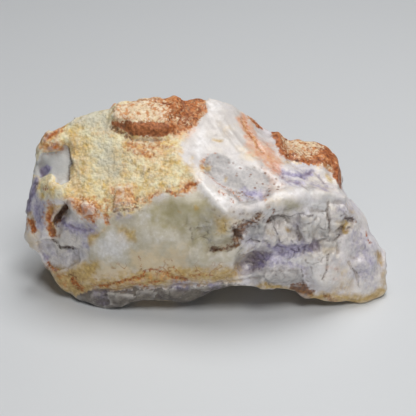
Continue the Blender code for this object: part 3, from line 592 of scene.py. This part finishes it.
# Each ground as its first tone, and the flecks laid on it in turn. A fleck has the noise that it follows,
# where on that noise it starts and where it is full, its strength and its tone. Tones are as they look,
# 0 to 255.
GROUNDS = {
    "milk": [(221, 218, 224), ("broad", 0.35, 0.65, 1.0, (228, 221, 211)),
             ("middle", 0.42, 0.7, 0.55, (204, 200, 204)), ("fine", 0.52, 0.72, 0.45, (242, 240, 238)),
             ("finest", 0.5, 0.3, 0.3, (170, 166, 164))],
    "front": [(181, 171, 139), ("middle", 0.34, 0.62, 1.0, (201, 195, 177)),
              ("fine", 0.55, 0.7, 0.3, (220, 217, 206))],
    "cream": [(222, 202, 166)],
    # The grey tone, also used for painted shade.
    "grey": [(151, 149, 150), ("fine", 0.35, 0.65, 1.0, (179, 176, 174))],
    "grey_green": [(166, 156, 110), ("middle", 0.3, 0.7, 1.0, (188, 180, 146))],
    "ochre": [(168, 130, 52), ("fine", 0.30, 0.68, 1.0, (208, 178, 104))],
    # The band's dark tone is painted shade.
    "shaded_band": [(94, 87, 85), ("middle", 0.36, 0.64, 1.0, (136, 129, 119)),
             ("fine", 0.46, 0.36, 0.5, (82, 74, 70))],
    "wisps": [(218, 216, 214), ("fine", 0.35, 0.65, 1.0, (238, 237, 238))],
    "crust": [(228, 198, 126), ("middle", 0.38, 0.58, 1.0, (236, 228, 190)),
              ("broad", 0.55, 0.7, 0.6, (226, 196, 136)), ("sugar", 0.3, 0.9, 0.35, (240, 232, 208)),
              ("fine", 0.5, 0.32, 0.45, (190, 164, 106))],
    "chip": [(186, 190, 196), ("broad", 0.3, 0.7, 1.0, (214, 214, 210))],
    "lilac": [(110, 102, 148), ("fine", 0.35, 0.65, 1.0, (172, 164, 200))],
    "peach": [(218, 142, 100), ("fine", 0.35, 0.65, 1.0, (230, 186, 150))],
    "slab": [(108, 48, 16), ("fine", 0.34, 0.62, 1.0, (194, 118, 64)),
             ("clumps", 0.56, 0.64, 0.6, (222, 158, 104)),
             ("middle", 0.52, 0.64, 0.55, (218, 146, 92)), ("middle", 0.45, 0.36, 0.5, (126, 62, 26)),
             ("sugar", 0.6, 0.8, 0.4, (228, 184, 140))],
    "orange": [(166, 88, 30), ("fine", 0.35, 0.65, 1.0, (220, 160, 84))],
    "wall": [(120, 58, 20), ("fine", 0.32, 0.66, 1.0, (190, 114, 66))],
    # The brown tone, also used for a painted shadow under the wall.
    "brown": [(76, 36, 8), ("fine", 0.35, 0.65, 1.0, (142, 92, 40))],
    "rust": [(130, 62, 20), ("fine", 0.35, 0.65, 1.0, (196, 112, 48))],
    "grains": [(212, 152, 100), ("clumps", 0.40, 0.50, 1.0, (238, 220, 186)),
               ("sugar", 0.7, 0.9, 0.6, (248, 240, 222)), ("fine", 0.46, 0.34, 0.45, (176, 112, 66))],
    # The dark tone of the cracks and of the painted shadows.
    "dark_cracks_and_shade": [(60, 30, 10)],
}

# How the zones are laid on, in this order: edge grain in millimetres, raggedness, softness, and strength.
UNDER_CRUST = {
    "front": (3.0, 1.2, 0.5, 0.9), "cream": (2.4, 1.6, 0.45, 0.8), "grey": (1.8, 1.2, 0.4, 0.85),
    "grey_green": (2.4, 1.4, 0.45, 0.8), "ochre": (1.8, 1.6, 0.48, 0.88), "shaded_band": (1.3, 2.2, 0.28, 1.0),
    "wisps": (1.8, 1.6, 0.5, 0.8),
}
OVER_CRUST = {
    "chip": (0.8, 0.7, 0.15, 0.95), "lilac": (1.3, 1.5, 0.5, 0.85), "peach": (1.8, 1.7, 0.5, 0.8),
    "slab": (1.0, 2.4, 0.35, 1.0), "orange": (0.9, 2.2, 0.4, 0.85), "wall": (0.9, 1.4, 0.25, 0.95),
    "brown": (0.7, 2.2, 0.35, 0.9), "rust": (0.6, 2.4, 0.3, 0.9), "grains": (0.7, 3.2, 0.25, 0.85),
}
# The crust, the stains inside it with their tones, the veins' zone, and the dark cracks and painted shadows
# laid on last.
CRUST_EDGE = (1.8, 1.5, 0.48)
CRUST_STAINS = [
    ("grey_green", (2.2, 1.6, 0.5), 0.85, (204, 202, 184)),
    ("ochre", (1.2, 2.4, 0.5), 0.5, (220, 172, 104)),
]
VEINED_EDGE = (1.2, 1.5, 0.5)
CRACK_AND_SHADE_EDGE = (0.6, 1.2, 0.35, 0.9)

SLOPE_TONE = (205, 200, 194)
VEIN_TONE = (160, 104, 50)
SPECK_TONE = (116, 72, 40)
CRACK_TONE = (92, 82, 80)
# The tone of the painted light on convex edges.
EDGE_LIGHT_TONE = (240, 236, 230)
FLOOR_TONE = (212, 216, 219)

# Soft lights: name, place, what it faces, size, power, tint.
LIGHTS = [
    ("soft box above", (0.07, 0.13, 0.51), (0.01, 0.02, 0.0), 0.28, 1.65, (1.0, 0.98, 0.97)),
    ("soft box in front", (0.12, -0.27, 0.56), (0.01, 0.0, 0.02), 0.24, 1.75, (1.0, 0.975, 0.955)),
    ("low fill in front", (0.06, -0.60, 0.10), (0.0, 0.0, 0.04), 0.30, 0.65, (1.0, 0.975, 0.955)),
]
ROOM_TINT = (0.90, 0.95, 1.0, 1.0)
ROOM_STRENGTH = 0.04


# Places and shapes on the visible side

def ease(value):
    """0 to 1 with soft ends."""
    held = np.clip(value, 0.0, 1.0)
    return held * held * (3 - 2 * held)


def distance_to_path(points, path):
    """How far each point is from a path of straight runs."""
    path = np.array(path, float)
    nearest = np.full(len(points), 1e9)
    for start, end in zip(path[:-1], path[1:]):
        run = end - start
        along = np.clip(((points - start) @ run) / max(run @ run, 1e-9), 0, 1)
        nearest = np.minimum(nearest, np.linalg.norm(points - start - along[:, None] * run, axis=1))
    return nearest


def inside(points, outline):
    """Whether each point lies inside a closed outline."""
    crossings = np.zeros(len(points), int)
    for (ax, ay), (bx, by) in zip(outline, outline[1:] + outline[:1]):
        spans = (points[:, 1] < ay) != (points[:, 1] < by)
        meets = ax + (points[:, 1] - ay) * (bx - ax) / ((by - ay) or 1e-9)
        crossings += spans & (points[:, 0] < meets)
    return crossings % 2 == 1


def near(points, places, margin):
    """The points within the margin of a shape's box."""
    low = np.min(places, axis=0) - margin
    high = np.max(places, axis=0) + margin
    return np.where((points > low).all(1) & (points < high).all(1))[0]


def plate_depth(points, outline):
    """How deep inside an outline each point lies, and below zero outside it."""
    edge = distance_to_path(points, outline + outline[:1])
    return np.where(inside(points, outline), edge, -edge)


def painted(points, shapes):
    """How strongly the shapes cover each point."""
    cover = np.zeros(len(points))
    for kind, places, width, strength in shapes:
        width = width * EDGE_SPREAD[kind]
        some = near(points, places, width + 1)
        if kind == "area":
            value = ease(plate_depth(points[some], places) / (2 * width) + 0.5)
        else:
            value = np.clip(1 - distance_to_path(points[some], places) / width, 0, 1)
        cover[some] = np.maximum(cover[some], value * strength)
    return cover


def ripple(points, size, seed):
    """Smooth noise from about -1 to 1 with bumps of that size."""
    shift = Vector((seed * 17.3, seed * 5.1, seed * 9.7))
    return np.array([noise.noise(Vector(p) / size + shift) for p in points])


def steps(points, size, seed):
    """Flat tilted cells of that size, each from about -1 to 1, as a broken stone has."""
    dice = np.random.default_rng(seed)
    low = points.min(0) - size
    counts = np.ceil((points.max(0) + size - low) / size).astype(int)
    jitter = dice.random((*counts, 3))
    lift = dice.uniform(-1, 1, counts)
    lean = dice.uniform(-1, 1, (*counts, 3))
    home = np.floor((points - low) / size).astype(int)
    best = np.full(len(points), 1e9)
    height = np.zeros(len(points))
    for offset in np.ndindex(3, 3, 3):
        cell = np.clip(home + np.array(offset) - 1, 0, counts - 1)
        at = tuple(cell.T)
        seed_point = low + (cell + jitter[at]) * size
        apart = np.linalg.norm(points - seed_point, axis=1)
        closer = apart < best
        best[closer] = apart[closer]
        tilt = ((points - seed_point) * lean[at]).sum(1) / size
        height[closer] = (0.6 * lift[at] + tilt)[closer]
    return height


# The skin and its relief

def only(piece):
    """Selects this piece alone."""
    bpy.ops.object.select_all(action="DESELECT")
    piece.select_set(True)
    bpy.context.view_layer.objects.active = piece


def layered(relief, points, layers):
    """Several sizes of one kind of relief, added up."""
    return sum(height * relief(points, size, *seeds) for height, size, *seeds in layers)


def sway(points, size, across_seed, down_seed):
    """Noise across and down, with bumps of that size."""
    return np.stack([ripple(points, size, across_seed), ripple(points, size, down_seed)], axis=1)


def swayed(places, points, amount):
    """Places shifted a little by noise, so that no edge runs straight."""
    return places + layered(sway, points, EDGE_SWAY) * amount


def along_grain(points):
    """Streaks from -1 to 1 that run along the grain of the white slope."""
    drawn_out = points - GRAIN_DRAWN_OUT * (points @ SLOPE_GRAIN)[:, None] * SLOPE_GRAIN
    return layered(ripple, drawn_out, GRAIN_STREAKS)


def apply_modifier(piece, kind, **settings):
    """Adds a modifier with its settings and applies it."""
    only(piece)
    modifier = piece.modifiers.new(kind.title(), kind)
    for setting, value in settings.items():
        setattr(modifier, setting, value)
    bpy.ops.object.modifier_apply(modifier=modifier.name)


def stone_skin(solid):
    """A finer skin over the stone's solid."""
    skin = bpy.data.objects.new("opal_skin", solid.data.copy())
    bpy.context.scene.collection.objects.link(skin)
    only(skin)
    bpy.ops.object.mode_set(mode="EDIT")
    bpy.ops.mesh.select_all(action="SELECT")
    bpy.ops.mesh.remove_doubles(threshold=0.000002)
    bpy.ops.object.mode_set(mode="OBJECT")
    skin.data.materials.clear()
    apply_modifier(skin, "REMESH", mode="VOXEL", voxel_size=SKIN_GRAIN * MM)
    apply_modifier(skin, "SMOOTH", factor=0.5, iterations=SMOOTHING_ROUNDS)
    return skin


def read(mesh, field):
    """One field of every point, such as its place or its normal."""
    values = np.empty(len(mesh.vertices) * 3)
    mesh.vertices.foreach_get(field, values)
    return values.reshape(-1, 3)


def in_photo(points):
    """Where each point is seen, in photograph pixels."""
    ray = points - EYE
    forward = ray @ SIGHT
    across = ray @ ACROSS / forward * CAMERA_DISTANCE * PIXELS_PER_MM
    up = ray @ UP / forward * CAMERA_DISTANCE * PIXELS_PER_MM
    return np.stack([PHOTO_SIDE / 2 + across, PHOTO_SIDE / 2 - up], axis=1)


def out_of_view(points):
    """Which place of the visible side each hidden point takes after, since the back isn't known."""
    across = PHOTO_SIDE / 2 + (points[:, 0] - AIM[0]) * HIDDEN_ACROSS
    down = HIDDEN_FOOT - points[:, 2] * HIDDEN_UP
    places = np.stack([across, down], axis=1)
    for amount, size, *seeds in HIDDEN_SWAY:
        places += amount * sway(points, size, *seeds)
    return places


def fit_outline(skin):
    """Brings the places in where the solid is a little too full."""
    points = read(skin.data, "co") / MM
    seen = in_photo(points)
    for way, places in FULL_PLACES:
        points += painted(seen, places)[:, None] * np.array(way)
    skin.data.vertices.foreach_set("co", (points * MM).ravel())
    skin.data.update()


def carve(skin, box):
    """Cuts the fine relief into the skin, and keeps it inside the solid's box."""
    points = read(skin.data, "co") / MM
    outward = read(skin.data, "normal")
    seen = in_photo(points)
    ray = points - EYE
    facing = -(ray * outward).sum(1) / np.linalg.norm(ray, axis=1)
    view = ease((facing - SEEN_FROM) / SEEN_OVER)
    change = np.zeros(len(points))
    wander = swayed(seen, points, 0.9)
    for outline, amount, wall in PLATES:
        some = near(wander, outline, wall + 1)
        change[some] += amount * ease(plate_depth(wander[some], outline) / wall + 0.5)
    for path, half_width, amount in LINES:
        some = near(wander, path, half_width + 1)
        change[some] += amount * ease(1 - distance_to_path(wander[some], path) / half_width)
    change *= view
    hidden = out_of_view(points)
    above_foot = ease((points[:, 2] - PLAIN_FOOT) / PLAIN_FOOT_FADE)
    broken = painted(seen, BROKEN) * view + HIDDEN_BROKEN * (1 - view) * above_foot
    crusted = painted(seen, ZONES["crust"]) * view + painted(hidden, ZONES["crust"]) * (1 - view)
    crusted *= 1 - painted(wander, ZONES["chip"]) * view
    change += broken * layered(steps, points, BROKEN_STEPS)
    change += crusted * layered(ripple, points, CRUST_BUMPS)
    change += painted(seen, SLOPE) * view * SLOPE_GRAIN_HEIGHT * along_grain(points)
    change += (1 - crusted) * layered(ripple, points, BARE_BUMPS)
    # the foot stays flat where the stone rests
    change *= ease(points[:, 2] / FLAT_FOOT)
    points += outward * change[:, None]
    low = np.array(box[0]) / MM
    high = np.array(box[1]) / MM
    points = np.clip(points, low, high)
    skin.data.vertices.foreach_set("co", (points * MM).ravel())
    skin.data.update()
    return view


def worn_smooth(points, edges, rounds):
    """The points after each has moved to the middle of its neighbours that many times."""
    ends = np.concatenate([edges, edges[:, ::-1]])
    count = np.bincount(ends[:, 0], minlength=len(points))[:, None]
    for _ in range(rounds):
        beside = points[ends[:, 1]]
        sums = [np.bincount(ends[:, 0], weights=along, minlength=len(points)) for along in beside.T]
        points = np.stack(sums, axis=1) / count
    return points


# What is painted on the skin

def add_layer(skin, name, values):
    """Gives every point a value that the material reads."""
    layer = skin.data.attributes.new(name, "FLOAT", "POINT")
    layer.data.foreach_set("value", values.astype(np.float32))


def mark_relief(skin):
    """Marks hollows above zero and edges below zero, small and large."""
    points = read(skin.data, "co") / MM
    outward = read(skin.data, "normal")
    edges = np.empty(len(skin.data.edges) * 2, np.int32)
    skin.data.edges.foreach_get("vertices", edges)
    edges = edges.reshape(-1, 2)
    worn = points
    for name, rounds, depth in zip(("small_hollow", "large_hollow"), WEAR_ROUNDS, HOLLOW_DEPTHS):
        worn = worn_smooth(worn, edges, rounds)
        add_layer(skin, name, ((worn - points) * outward).sum(1) / depth)


def paint(skin, view):
    """Gives every point its share of each stain and finish."""
    points = read(skin.data, "co") / MM
    seen = swayed(in_photo(points), points, 1.0)
    hidden = out_of_view(points)
    add_layer(skin, "streaks", along_grain(points))
    facing_down = ease((-read(skin.data, "normal")[:, 2] - 0.3) / 0.4)
    under = facing_down * ease((UNDERSIDE_SHADE_TOP - points[:, 2]) / UNDERSIDE_SHADE_FADE) * (1 - view)
    for name, shapes in {**ZONES, "wet": WET, "slope": SLOPE, "broken": BROKEN}.items():
        hidden_cover = painted(hidden, shapes) * (1 - view) * HIDDEN_SHARE.get(name, 1.0)
        cover = painted(seen, shapes) * view + hidden_cover
        if name == "ochre":
            # painted shade on the underside, laid on as an earthy ochre
            cover = np.maximum(cover, under * UNDERSIDE_SHADE)
        add_layer(skin, name, cover)


# The material

def node(tree, kind, inputs=(), **settings):
    """A node with its settings, its inputs linked or set."""
    made = tree.nodes.new(kind)
    for setting, value in settings.items():
        setattr(made, setting, value)
    for key, value in dict(inputs).items():
        if isinstance(value, bpy.types.NodeSocket):
            tree.links.new(value, made.inputs[key])
        else:
            made.inputs[key].default_value = value
    return made


def maths(tree, operation, first, second=0.0, clamp=False):
    """The result of one sum on two values."""
    made = node(tree, "ShaderNodeMath", {0: first, 1: second}, operation=operation, use_clamp=clamp)
    return made.outputs[0]


def blend(tree, share, under, over):
    """The under colour with the over colour laid on it by its share."""
    mix = node(tree, "ShaderNodeMix", data_type="RGBA")
    for key, kind, value in (("Factor", "VALUE", share), ("A", "RGBA", under), ("B", "RGBA", over)):
        socket = next(s for s in mix.inputs if s.name == key and s.type == kind)
        if isinstance(value, bpy.types.NodeSocket):
            tree.links.new(value, socket)
        else:
            socket.default_value = value
    return next(s for s in mix.outputs if s.type == "RGBA")


def colour(red, green, blue):
    """A colour given as it looks, 0 to 255."""
    shown = (red, green, blue)
    return (*[((v / 255 + 0.055) / 1.055) ** 2.4 if v > 10 else v / 3294.6 for v in shown], 1.0)


def noise_value(tree, place, size_mm, detail):
    """Noise with bumps of that size."""
    inputs = {"Vector": place, "Scale": 1 / (size_mm * MM), "Detail": detail}
    return node(tree, "ShaderNodeTexNoise", inputs).outputs["Fac"]


def cells(tree, place, size_mm, **settings):
    """Cells of that size, packed at random."""
    inputs = {"Vector": place, "Scale": 1 / (size_mm * MM)}
    return node(tree, "ShaderNodeTexVoronoi", inputs, **settings).outputs


def ragged_edge_group():
    """Turns a soft zone into one with a ragged, grainy edge."""
    tree = bpy.data.node_groups.new("ragged edge", "ShaderNodeTree")
    for name, value in (("Zone", 0.0), ("Grain size", 1.0), ("Raggedness", 0.5), ("Softness", 0.1)):
        socket = tree.interface.new_socket(name, in_out="INPUT", socket_type="NodeSocketFloat")
        socket.default_value = value
    tree.interface.new_socket("Cover", in_out="OUTPUT", socket_type="NodeSocketFloat")
    given = tree.nodes.new("NodeGroupInput")
    place = node(tree, "ShaderNodeTexCoord").outputs["Object"]
    scale = maths(tree, "DIVIDE", 1000.0, given.outputs["Grain size"])
    inputs = {"Vector": place, "Scale": scale, "Detail": 4.0, "Roughness": 0.6}
    grain = node(tree, "ShaderNodeTexNoise", inputs)
    centred = maths(tree, "SUBTRACT", grain.outputs["Fac"], 0.5)
    uneven = maths(tree, "MULTIPLY", centred, given.outputs["Raggedness"])
    # it fades out where the zone is absent, so no stray stain appears far from it
    held = maths(tree, "MULTIPLY", uneven, maths(tree, "MULTIPLY", given.outputs["Zone"], 4.0, clamp=True))
    shifted = maths(tree, "ADD", given.outputs["Zone"], held)
    low = maths(tree, "SUBTRACT", 0.5, given.outputs["Softness"])
    high = maths(tree, "ADD", 0.5, given.outputs["Softness"])
    cover = node(tree, "ShaderNodeMapRange", {"Value": shifted, "From Min": low, "From Max": high})
    cover.interpolation_type = "SMOOTHSTEP"
    done = tree.nodes.new("NodeGroupOutput")
    tree.links.new(cover.outputs[0], done.inputs["Cover"])
    return tree


def opal_material():
    """Milky opal, stained and crusted, dull where it is crusted and glossy where it is wet."""
    material = bpy.data.materials.new("rough opal")
    material.use_nodes = True
    tree = material.node_tree
    shader = tree.nodes["Principled BSDF"]
    ragged = ragged_edge_group()
    place = node(tree, "ShaderNodeTexCoord").outputs["Object"]

    def plus(first, second):
        return maths(tree, "ADD", first, second)

    def minus(first, second, clamp=False):
        return maths(tree, "SUBTRACT", first, second, clamp)

    def share(value, amount):
        return maths(tree, "MULTIPLY", value, amount)

    def larger(first, second):
        return maths(tree, "MAXIMUM", first, second)

    def sharpened(value, low, high):
        """0 to 1 as the value goes from low to high."""
        inputs = {"Value": value, "From Min": low, "From Max": high}
        return node(tree, "ShaderNodeMapRange", inputs).outputs[0]

    def layer_value(name):
        """A value painted on the skin."""
        return node(tree, "ShaderNodeAttribute", attribute_name=name).outputs["Fac"]

    def zone(name, grain, raggedness, softness):
        """A painted zone with a ragged edge."""
        inputs = {"Zone": layer_value(name), "Grain size": grain, "Raggedness": raggedness,
                  "Softness": softness}
        return node(tree, "ShaderNodeGroup", inputs, node_tree=ragged).outputs["Cover"]

    values = {name: noise_value(tree, place, *settings) for name, settings in NOISES.items()}
    sugar = cells(tree, place, SUGAR)["Color"]
    values["sugar"] = node(tree, "ShaderNodeSeparateColor", {0: sugar}).outputs[0]
    for name in ("small_hollow", "large_hollow", "streaks"):
        values[name] = layer_value(name)
    slope = layer_value("slope")

    def laid(base, cover, tone):
        """A plain tone laid over the base."""
        return blend(tree, cover, base, colour(*tone))

    def flecked(base, flecks):
        """Flecks laid over the base in turn."""
        for name, start, full, strength, tone in flecks:
            base = laid(base, share(sharpened(values[name], start, full), strength), tone)
        return base

    def ground(name):
        """A ground's tone with its flecks."""
        first, *flecks = GROUNDS[name]
        return flecked(colour(*first), flecks)

    def stained(base, name, grain, raggedness, softness, strength):
        """A zone's ground laid over the base."""
        return blend(tree, share(zone(name, grain, raggedness, softness), strength), base, ground(name))

    # milky body, with grain down the white slope
    base = laid(ground("milk"), share(slope, 0.65), SLOPE_TONE)
    base = flecked(base, [("streaks", 0.05, 0.35, share(slope, 0.5), (190, 184, 180)),
                          ("streaks", -0.1, -0.4, share(slope, 0.5), (236, 233, 232))])
    for name, edge in UNDER_CRUST.items():
        base = stained(base, name, *edge)
    # thin veins, along the level lines of a cloudy noise
    vein = sharpened(maths(tree, "ABSOLUTE", minus(values["clouds"], 0.5)), 0.012, 0.002)
    base = laid(base, share(share(vein, zone("veined", *VEINED_EDGE)), 0.65), VEIN_TONE)
    # granular crust, in soft patches of cream, ochre and grey green
    crust_ground = ground("crust")
    for name, edge, strength, tone in CRUST_STAINS:
        crust_ground = laid(crust_ground, share(zone(name, *edge), strength), tone)
    crust = zone("crust", *CRUST_EDGE)
    base = blend(tree, crust, base, crust_ground)
    for name, edge in OVER_CRUST.items():
        base = stained(base, name, *edge)
    # brown specks, one in some of the cells
    speck_cells = cells(tree, place, SPECK)
    dot = sharpened(speck_cells["Distance"], 0.34, 0.20)
    chance = node(tree, "ShaderNodeSeparateColor", {0: speck_cells["Color"]}).outputs[1]
    speck = share(share(dot, sharpened(chance, 0.40, 0.44)), layer_value("specks"))
    base = laid(base, share(speck, 0.85), SPECK_TONE)
    # hairline cracks through the broken ground, not everywhere
    shake = node(tree, "ShaderNodeTexNoise", {"Vector": place, "Scale": 1 / (CRACK_BEND * MM)})
    bend = {0: shake.outputs["Color"], 1: (CRACK_BEND * MM,) * 3, 2: place}
    bent = node(tree, "ShaderNodeVectorMath", bend, operation="MULTIPLY_ADD").outputs[0]
    crack = sharpened(cells(tree, bent, CRACKED_PLATE, feature="DISTANCE_TO_EDGE")["Distance"], 0.035, 0.0)
    crack = share(crack, share(sharpened(values["middle"], 0.48, 0.58), layer_value("broken")))
    base = laid(base, share(crack, 0.55), CRACK_TONE)
    # painted shade in the hollows, tinted brown like dirt, and painted light on the convex edges, where a
    # thin break lets light through
    base = flecked(base, [("small_hollow", 0.25, 1.8, 0.36, (124, 100, 80)),
                          ("large_hollow", 0.5, 2.4, 0.26, (104, 90, 84))])
    plain_ground = minus(1.0, larger(layer_value("slab"), layer_value("wall")), clamp=True)
    # painted light on the convex edges
    edge_light = share(sharpened(values["small_hollow"], -0.3, -1.6), plain_ground)
    base = laid(base, share(edge_light, 0.4), EDGE_LIGHT_TONE)
    # dark cracks and painted shadows, laid on last
    base = stained(base, "dark_cracks_and_shade", *CRACK_AND_SHADE_EDGE)
    tree.links.new(base, shader.inputs["Base Color"])

    wet = layer_value("wet")
    roughness = minus(DRY_ROUGHNESS, share(wet, WET_GLOSS))
    roughness = plus(roughness, share(minus(values["middle"], 0.5), UNEVEN_GLOSS))
    roughness = maths(tree, "ADD", roughness, share(crust, CRUST_DULLNESS), clamp=True)
    tree.links.new(roughness, shader.inputs["Roughness"])

    def facets(size_mm, steepness):
        """The height of flat cells, each leaning its own way."""
        cell = cells(tree, bent, size_mm)
        centred = {0: cell["Color"], 1: (0.5, 0.5, 0.5)}
        lean = node(tree, "ShaderNodeVectorMath", centred, operation="SUBTRACT")
        apart = node(tree, "ShaderNodeVectorMath", {0: bent, 1: cell["Position"]}, operation="SUBTRACT")
        along = {0: apart.outputs[0], 1: lean.outputs[0]}
        height = node(tree, "ShaderNodeVectorMath", along, operation="DOT_PRODUCT")
        return share(height.outputs["Value"], steepness)

    # fine relief: grains and pebbles on the rough ground, flat cells where it is broken, streaks and cracks
    rough_ground = larger(crust, larger(layer_value("slab"), layer_value("grains")))
    rough_ground = minus(rough_ground, layer_value("chip"), clamp=True)
    pebbles = cells(tree, place, PEBBLE)["Distance"]
    height = share(values["grainy"], plus(BARE_GRAIN * MM, share(rough_ground, ROUGH_GRAIN * MM)))
    height = minus(height, share(pebbles, share(rough_ground, PEBBLE_HEIGHT * MM)))
    cleft = plus(*[facets(size, steepness) for size, steepness in CLEAVED])
    shown = plus(CLEAVED_EVERYWHERE, share(layer_value("broken"), 1 - CLEAVED_EVERYWHERE))
    height = plus(height, share(cleft, shown))
    height = plus(height, share(values["streaks"], share(slope, STREAK_HEIGHT * MM)))
    height = minus(height, share(crack, CRACK_DEPTH * MM))
    bump = node(tree, "ShaderNodeBump", {"Height": height, "Strength": 1.0, "Distance": 1.0})
    tree.links.new(bump.outputs[0], shader.inputs["Normal"])
    tree.links.new(share(wet, WET_COAT), shader.inputs["Coat Weight"])
    shader.inputs["Coat Roughness"].default_value = 0.12
    shader.inputs["Subsurface Weight"].default_value = 0.12
    shader.inputs["Subsurface Radius"].default_value = (1.0, 0.9, 0.8)
    shader.inputs["Subsurface Scale"].default_value = 1.0 * MM
    shader.inputs["Specular IOR Level"].default_value = 0.42
    return material


# The lights, floor and camera

def area_light(name, place, target, size, power, tint):
    """A soft square light that faces its target."""
    data = bpy.data.lights.new(name, "AREA")
    data.color = tint
    data.size = size
    data.energy = power
    light = bpy.data.objects.new(name, data)
    bpy.context.scene.collection.objects.link(light)
    light.location = place
    light.rotation_euler = (Vector(target) - Vector(place)).to_track_quat("-Z", "Y").to_euler()


def studio():
    """A pale floor under soft light from above, and the camera at the photograph's angle."""
    scene = bpy.context.scene
    scene.view_settings.view_transform = "Standard"
    world = bpy.data.worlds.new("pale room")
    world.use_nodes = True
    world.node_tree.nodes["Background"].inputs["Color"].default_value = ROOM_TINT
    world.node_tree.nodes["Background"].inputs["Strength"].default_value = ROOM_STRENGTH
    scene.world = world
    for light in LIGHTS:
        area_light(*light)
    bpy.ops.object.select_all(action="DESELECT")
    bpy.ops.mesh.primitive_plane_add(size=6.0, location=(0, 0, 0))
    floor = bpy.context.object
    floor.name = "pale floor"
    finish = bpy.data.materials.new("pale floor")
    finish.use_nodes = True
    shader = finish.node_tree.nodes["Principled BSDF"]
    shader.inputs["Base Color"].default_value = colour(*FLOOR_TONE)
    shader.inputs["Roughness"].default_value = 0.5
    floor.data.materials.append(finish)

    data = bpy.data.cameras.new("camera")
    data.lens = LENS
    data.sensor_width = SENSOR
    camera = bpy.data.objects.new("camera", data)
    scene.collection.objects.link(camera)
    camera.location = EYE * MM
    camera.rotation_euler = Vector(SIGHT).to_track_quat("-Z", "Y").to_euler()
    scene.camera = camera


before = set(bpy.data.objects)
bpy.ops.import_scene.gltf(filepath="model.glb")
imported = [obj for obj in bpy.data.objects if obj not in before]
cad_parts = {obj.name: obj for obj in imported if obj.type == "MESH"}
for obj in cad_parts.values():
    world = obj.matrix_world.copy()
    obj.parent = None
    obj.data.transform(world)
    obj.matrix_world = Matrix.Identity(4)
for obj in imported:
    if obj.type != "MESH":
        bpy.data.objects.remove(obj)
cad_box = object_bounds()
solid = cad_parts["rough_opal"]
stone = stone_skin(solid)
fit_outline(stone)
in_view = carve(stone, cad_box)
mark_relief(stone)
paint(stone, in_view)
only(stone)
bpy.ops.object.shade_smooth()
stone.data.materials.append(opal_material())
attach(stone, "root")
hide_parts("rough_opal")
studio()
